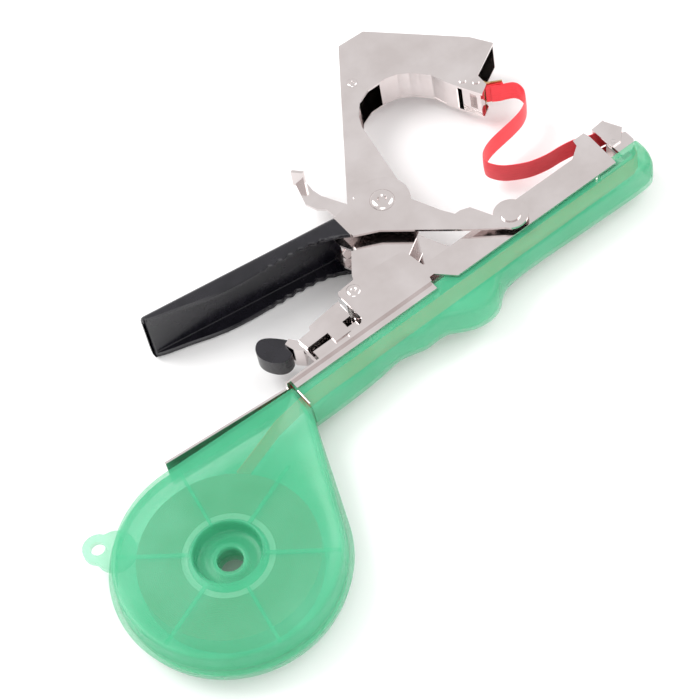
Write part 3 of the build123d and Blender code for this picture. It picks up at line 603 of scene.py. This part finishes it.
def reel_tray():
    outer, angles = corner_ring(TRAY_R, 0, -0.1)
    rings = [outer]
    for radius, inset, z in ((TRAY_R, 0, -1.4), (TRAY_R, 0.6, -2.0), (TRAY_R, 1.6, -7.4), (TRAY_R, 2.0, -8.2),
                             (TRAY_R, 2.9, -8.75), (TRAY_R, 4.0, -8.8)):
        rings.append(corner_ring(radius, inset, z)[0])
    for radius, z in ((24.0, -8.8), (HUB_HOLE_R + 1.4, -8.8), (HUB_HOLE_R, -8.4), (HUB_HOLE_R, -0.3),
                      (HUB_HOLE_R + 1.4, -0.3), (HUB_HOLE_R + 1.5, -7.4), (14.8, -7.4), (14.8, 5.2),
                      (15.2, 5.4), (15.9, 5.4), (16.2, 5.0), (16.2, -7.3), (30.0, -7.4)):
        rings.append(round_ring(radius, z, angles))
    for inset, z in ((4.2, -7.4), (3.1, -7.2), (2.1, -2.0), (2.0, -0.1)):
        rings.append(corner_ring(TRAY_R, inset, z)[0])
    verts, faces = loft(rings, ring=True)
    tray = piece("case_tray", verts, faces, "green_plastic", "frame", 50)
    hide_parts("reel_tray")


def hanging_tab():
    """Eye on the tray's rim, with a rounded end."""
    tab_x, tab_y, tab_r, eye_r = -150.5, -22.8, 6.5, 3.1
    reach = math.atan2(tab_y - REEL_Y, tab_x - REEL_X)
    count = 48
    rings = []
    for radius_in, radius_out, z in ((1, 0, -3.0), (0, 0, -3.2), (0, 1, -3.2),
                                     (0, 1, -0.2), (0, 0, -0.2), (1, 0, -0.4)):
        ring = []
        for i in range(count):
            angle = reach + 2 * math.pi * i / count
            if radius_out:
                spread = math.cos(angle - reach)
                out = tab_r if spread > -0.2 else tab_r + (-0.2 - spread) * 12
                ring.append(at(tab_x + out * math.cos(angle), tab_y + out * math.sin(angle), z))
            else:
                ring.append(at(tab_x + (eye_r + 0.25 * (1 - radius_in)) * math.cos(angle),
                               tab_y + (eye_r + 0.25 * (1 - radius_in)) * math.sin(angle), z))
        rings.append(ring)
    verts, faces = loft(rings, ring=True)
    piece("hanging_tab", verts, faces, "green_plastic", "frame", 30)


reel_lid()
lid_ribs()
reel_tray()
hanging_tab()

# ---------------------------------------------------------------- red tape
TAPE_ROUTE = [(138.4, -21.8), (140.0, -16.4), (140.6, -10.0), (139.9, -5.8), (137.4, -3.2), (132.8, -2.2),
              (128.0, -0.6), (122.6, 1.8), (116.0, 3.0), (109.0, 3.6), (102.0, 5.3), (96.5, 8.0),
              (91.5, 11.5), (88.3, 15.5), (87.0, 19.5), (88.6, 22.8), (92.6, 25.4), (98.0, 27.0),
              (104.6, 28.0), (111.0, 29.0), (117.0, 30.6), (121.6, 33.6), (124.6, 37.6), (125.4, 41.6),
              (124.4, 44.6), (121.6, 46.6), (118.6, 48.0), (115.4, 50.2)]
TAPE_HALF = 5.5
TAPE_THICK = 0.25


def free_tape():
    """One strip of tape on edge, a little cupped across its width."""
    line = smooth_curve(TAPE_ROUTE, 6)
    sections = []
    for i, (x, y) in enumerate(line):
        before = line[max(i - 1, 0)]
        after = line[min(i + 1, len(line) - 1)]
        run = math.hypot(after[0] - before[0], after[1] - before[1])
        nx = -(after[1] - before[1]) / run
        ny = (after[0] - before[0]) / run
        section = []
        for side in (1, -1):
            for k in range(7):
                across = (k - 3) / 3 * side
                cup = 0.22 * (1 - across * across) * math.sin(i * 0.09)
                off = cup + side * TAPE_THICK / 2
                section.append(at(x + nx * off, y + ny * off, across * TAPE_HALF))
        sections.append(section)
    verts, faces = loft(sections)
    tape = piece("free_tape", verts, faces, "red_tape", None, 60)
    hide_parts("tape_free_run")
    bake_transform(tape)


free_tape()

# ---------------------------------------------------------------- rivets and springs
def rivet_heads(name, x, y, shank, seat, radius, rise, node, body, far_rise=None):
    """Shank with a dimpled dome at each end; the far dome stays flatter."""
    far = -(seat + (rise if far_rise is None else far_rise))
    profile = [(0.02, seat + rise * 0.35), (radius * 0.26, seat + rise * 0.4),
               (radius * 0.36, seat + rise * 0.85),
               (radius * 0.55, seat + rise), (radius * 0.8, seat + rise * 0.8),
               (radius * 0.95, seat + rise * 0.4),
               (radius, seat), (shank, seat - 0.05), (shank, -seat), (radius, -seat),
               (radius * 0.92, (-seat + far) / 2), (radius * 0.75, far), (0.02, far)]
    head = turned_piece(name, x, y, profile, "nickel_steel", body)
    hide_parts(node)


rivet_heads("lever_rivet_domed", 37.4, 27.8, 3.0, 13.6, 5.6, 1.7, "lever_rivet", "squeeze_lever", 0.9)
rivet_heads("main_rivet_domed", 0.0, 0.0, 2.5, 11.4, 3.2, 0.55, "main_rivet", "frame", 0.4)
rivet_heads("arm_rivet_domed", 69.7, 92.4, 2.0, 8.4, 2.5, 0.7, "arm_rivet", "jaw_arm")


def coil(name, start, toward, radius, wire, turns, slot_name, body, steps=16):
    """Helical wire from start, along toward (metres), as one open curve."""
    data = bpy.data.curves.new(name, "CURVE")
    data.dimensions = "3D"
    data.bevel_depth = wire * MM
    data.bevel_resolution = 2
    spline = data.splines.new("POLY")
    total = int(turns * steps)
    spline.points.add(total)
    line = Vector(toward)
    first = line.orthogonal().normalized()
    second = line.normalized().cross(first)
    for i in range(total + 1):
        angle = 2 * math.pi * i / steps
        swing = first * math.cos(angle) + second * math.sin(angle)
        spot = Vector(start) + line * (i / total) + swing * radius * MM
        spline.points[i].co = (*spot, 1)
    obj = bpy.data.objects.new(name, data)
    bpy.context.scene.collection.objects.link(obj)
    dress(obj, slot_name)
    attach(obj, body)
    return obj


push_coil = coil("pusher_coil", at(-30.6, -12.2), Vector((97.0, 0, 0)) * MM, 1.55, 0.26, 62, "spring_steel",
                 "loader", 12)
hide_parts("pusher_spring")
return_coil = coil("return_coil", at(0, 0, -4.0), Vector((0, 0, 8.5)) * MM, 3.6, 0.55, 7, "spring_steel",
                   "frame")
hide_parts("return_spring")
